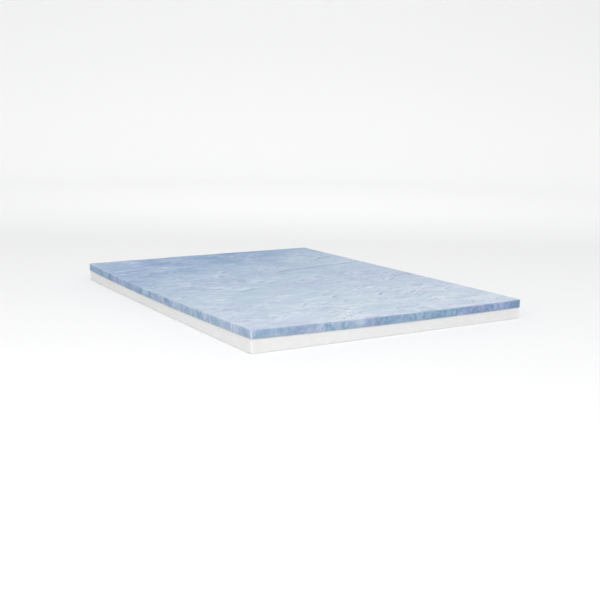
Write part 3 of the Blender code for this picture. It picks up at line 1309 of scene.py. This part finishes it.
@dataclass(frozen=True)
class SupportFoamFinish(FoamFinish):
    """Plain white foam with a slightly warm tone and fine saw lines on its cut sides."""

    name: str = "white_support_foam"
    cells: float = 700.0
    clumps: float = 100.0
    cell_shades: Span = (1.02, 0.95)
    cell_depth: float = 0.0004
    wear_and_highlight: float = 0.6
    rubbed_and_lit: Colour = (0.885, 0.885, 0.883)
    main: Colour = (0.838, 0.836, 0.830)
    warm: Colour = (0.816, 0.808, 0.791)
    tone: SoftNoise = SoftNoise(3.0, 4.0, 0.55, (0.35, 0.68))
    flecks: SoftNoise = SoftNoise(42.0, 3.0, 0.6, (0.45, 0.75))
    fleck_share: float = 0.6
    roughness_span: Span = (0.3, 0.7)
    roughness: Span = (0.84, 0.94)
    saw_stretch: Place = (2.0, 2.0, 260.0)
    saw_lines: SoftNoise = SoftNoise(1.0, 2.0)
    saw_relief: float = 0.7

    def look(self, wiring: Wiring, place: Socket) -> FoamLook:
        """The white foam's soft tones, flecks and saw lines.

        Args:
            wiring: The material's wiring.
            place: The object coordinates.

        Returns:
            The support foam's own colour, roughness and relief.
        """
        colour = wiring.blend(self.tone.mask(wiring, place), self.main, self.warm)
        fleck = self.flecks.value(wiring, place)
        share = wiring.remap(fleck, self.flecks.span, (0.0, self.fleck_share))
        sawn = wiring.node("ShaderNodeMapping", Vector=place, Scale=self.saw_stretch).outputs["Vector"]
        lines = wiring.product(self.saw_lines.value(wiring, sawn), wiring.stored("cut_side"))
        return FoamLook(
            colour=wiring.blend(share, colour, self.rubbed_and_lit),
            roughness=wiring.remap(fleck, self.roughness_span, self.roughness),
            reliefs=(wiring.product(lines, self.saw_relief),),
        )


@dataclass(frozen=True)
class StudioFinish:
    """Plain matt pale paint of the studio."""

    name: str = "studio_pale"
    colour: Colour = (0.90, 0.90, 0.90)

    def build(self) -> bpy.types.Material:
        """Make the material.

        Returns:
            The new material.
        """
        material, _, shader = new_material(self.name)
        shader.inputs["Base Color"].default_value = (*self.colour, 1.0)
        shader.inputs["Roughness"].default_value = 1.0
        shader.inputs["Specular IOR Level"].default_value = 0.0
        return material


# --------------------------------------------------------------------------- studio


def add_object(name: str, data: bpy.types.ID) -> bpy.types.Object:
    """Put a light or a camera into the scene.

    Args:
        name: The object's name.
        data: The light or camera.

    Returns:
        The new object.
    """
    added = bpy.data.objects.new(name, data)
    bpy.context.scene.collection.objects.link(added)
    return added


@dataclass(frozen=True)
class SoftSun:
    """Wide soft light from far away: the direction it comes from, its strength and its spread in degrees."""

    name: str = "soft_sun"
    comes_from: Place = (-0.06, -0.30, 0.95)
    strength: float = 0.56
    spread: float = 50.0

    def hang(self) -> None:
        """Add the light."""
        light = add_object(self.name, bpy.data.lights.new(self.name, "SUN"))
        light.data.energy = self.strength
        light.data.angle = radians(self.spread)
        light.rotation_euler = Vector(self.comes_from).to_track_quat("Z", "Y").to_euler()


@dataclass(frozen=True)
class SoftLight:
    """A square soft light: where it stands, what it faces, its size and power."""

    name: str
    place: Place
    faces: Place
    size: float
    power: float

    def hang(self) -> None:
        """Add the light."""
        light = add_object(self.name, bpy.data.lights.new(self.name, "AREA"))
        light.data.size = self.size
        light.data.energy = self.power
        light.location = self.place
        light.rotation_euler = (Vector(self.faces) - Vector(self.place)).to_track_quat("-Z", "Y").to_euler()


@dataclass(frozen=True)
class Viewpoint:
    """The camera: how it stands to the topper and how far it sees, in metres, and its angles in degrees.

    The lens and the sensor are in millimetres.
    """

    left_of_middle: float = 2.467
    before_middle: float = 4.178
    above_top: float = 0.834
    topper_height: float = 0.1016
    heading: float = -31.58
    dip: float = 11.07
    roll: float = 0.85
    lens: float = 54.11
    sensor_width: float = 36.0
    sight: float = 60.0

    def set_up(self) -> None:
        """Add the camera and make it the scene's."""
        camera = add_object("viewpoint", bpy.data.cameras.new("viewpoint"))
        camera.data.sensor_width = self.sensor_width
        camera.data.lens = self.lens
        camera.data.clip_end = self.sight
        turn = Matrix.Rotation(radians(self.heading), 4, "Z")
        tilt = Matrix.Rotation(radians(90 - self.dip), 4, "X")
        lean = Matrix.Rotation(radians(self.roll), 4, "Z")
        height = self.above_top + self.topper_height
        stand = Matrix.Translation((-self.left_of_middle, -self.before_middle, height))
        camera.matrix_world = stand @ turn @ tilt @ lean
        bpy.context.scene.camera = camera


@dataclass(frozen=True)
class Studio:
    """A pale floor that curves up into a wall all round, with soft lights and an even glow from above."""

    floor_radius: float = 10.0
    floor_corners: int = 128
    curve_radius: float = 3.0
    wall_height: float = 1.5
    curve_steps: int = 14
    glow: float = 0.70
    glow_colour: Colour = (0.985, 0.99, 1.0)
    lights: tuple[SoftLight | SoftSun, ...] = (
        SoftSun(),
        SoftLight("key_softbox", (-2.9, -5.0, 5.2), (-0.3, -0.8, 0.0), 3.0, 130.0),
        SoftLight("left_softbox", (-3.4, -2.6, 1.6), (-0.76, -0.9, 0.05), 1.6, 12.0),
        SoftLight("backdrop_softbox", (1.8, 3.0, 6.5), (8.0, 12.5, 4.5), 6.0, 150.0),
    )

    def lay_floor(self) -> None:
        """Model the floor and its curved wall."""
        bpy.ops.object.select_all(action="DESELECT")
        bpy.ops.mesh.primitive_circle_add(
            vertices=self.floor_corners, radius=self.floor_radius, fill_type="NGON"
        )
        floor = bpy.context.active_object
        floor.name = "studio_floor"
        start_editing(floor, "EDGE")
        bpy.ops.mesh.select_all(action="SELECT")
        radius = self.floor_radius
        height = 0.0
        for step in range(1, self.curve_steps + 1):
            angle = pi / 2 * step / self.curve_steps
            wider = self.floor_radius + self.curve_radius * sin(angle)
            higher = self.curve_radius * (1 - cos(angle))
            self.raise_rim(wider / radius, higher - height)
            radius = wider
            height = higher
        self.raise_rim(1.0, self.wall_height)
        stop_editing()
        floor.data.shade_smooth()
        floor.data.materials.append(StudioFinish().build())

    def raise_rim(self, growth: float, rise: float) -> None:
        """Extrude the floor's outer edge.

        Args:
            growth: How much wider the new edge is.
            rise: How much higher it is.
        """
        bpy.ops.mesh.extrude_edges_move(TRANSFORM_OT_translate={"value": (0.0, 0.0, rise)})
        bpy.ops.transform.resize(value=(growth, growth, 1.0), center_override=(0.0, 0.0, 0.0))

    def set_up(self) -> None:
        """Lay the floor, hang the lights and set the glow and the tone."""
        self.lay_floor()
        for light in self.lights:
            light.hang()
        world = bpy.data.worlds.new("studio_glow")
        world.use_nodes = True
        background = world.node_tree.nodes["Background"]
        background.inputs["Color"].default_value = (*self.glow_colour, 1.0)
        background.inputs["Strength"].default_value = self.glow
        bpy.context.scene.world = world
        bpy.context.scene.view_settings.view_transform = "Standard"


# --------------------------------------------------------------------------- the topper


@dataclass
class MattressTopper:
    """The whole topper: its two foam layers, placed by the heights of their solids."""

    seam: float = 0.0608
    gel_thickness: float = 0.0408
    base_thickness: float = 0.0605
    base_inset: float = 0.0035

    def build(self) -> list[bpy.types.Object]:
        """Build both layers.

        Returns:
            The finished pieces.
        """
        form = LyingForm()
        fineness = MeshFineness.FULL
        base = SupportFoamBase(
            name="support_foam_base", slot="white_foam", form=form, floor=0.0, thickness=self.base_thickness,
            inset=self.base_inset, top_edge=0.0012, bottom_edge=0.0030, side_cuts=7, fineness=fineness,
            side_ripples=Ripples(count=12, seed=3, lengths=(0.05, 0.30), height=0.0003),
            finish=SupportFoamFinish(),
        )
        gel = GelFoamLayer(
            name="gel_foam_layer", slot="gel_foam", form=form, floor=self.seam, thickness=self.gel_thickness,
            inset=0.0, top_edge=0.0035, bottom_edge=0.0012, side_cuts=5, fineness=fineness,
            side_ripples=Ripples(count=12, seed=5, lengths=(0.04, 0.22), height=0.00035),
            finish=GelFoamFinish(), fine_faces=(True, False),
        )
        return [base.build(), gel.build()]


def write_sizes() -> None:
    """Update the view layer."""
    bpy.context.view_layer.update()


def main() -> None:
    """Set up the studio and the viewpoint, and build the topper."""
    logging.basicConfig(level=logging.INFO, format="%(name)s: %(message)s")
    Viewpoint().set_up()
    for piece in MattressTopper().build():
        LOG.info("built %s", piece.name)
    Studio().set_up()
    write_sizes()


if __name__ == "__main__":
    main()
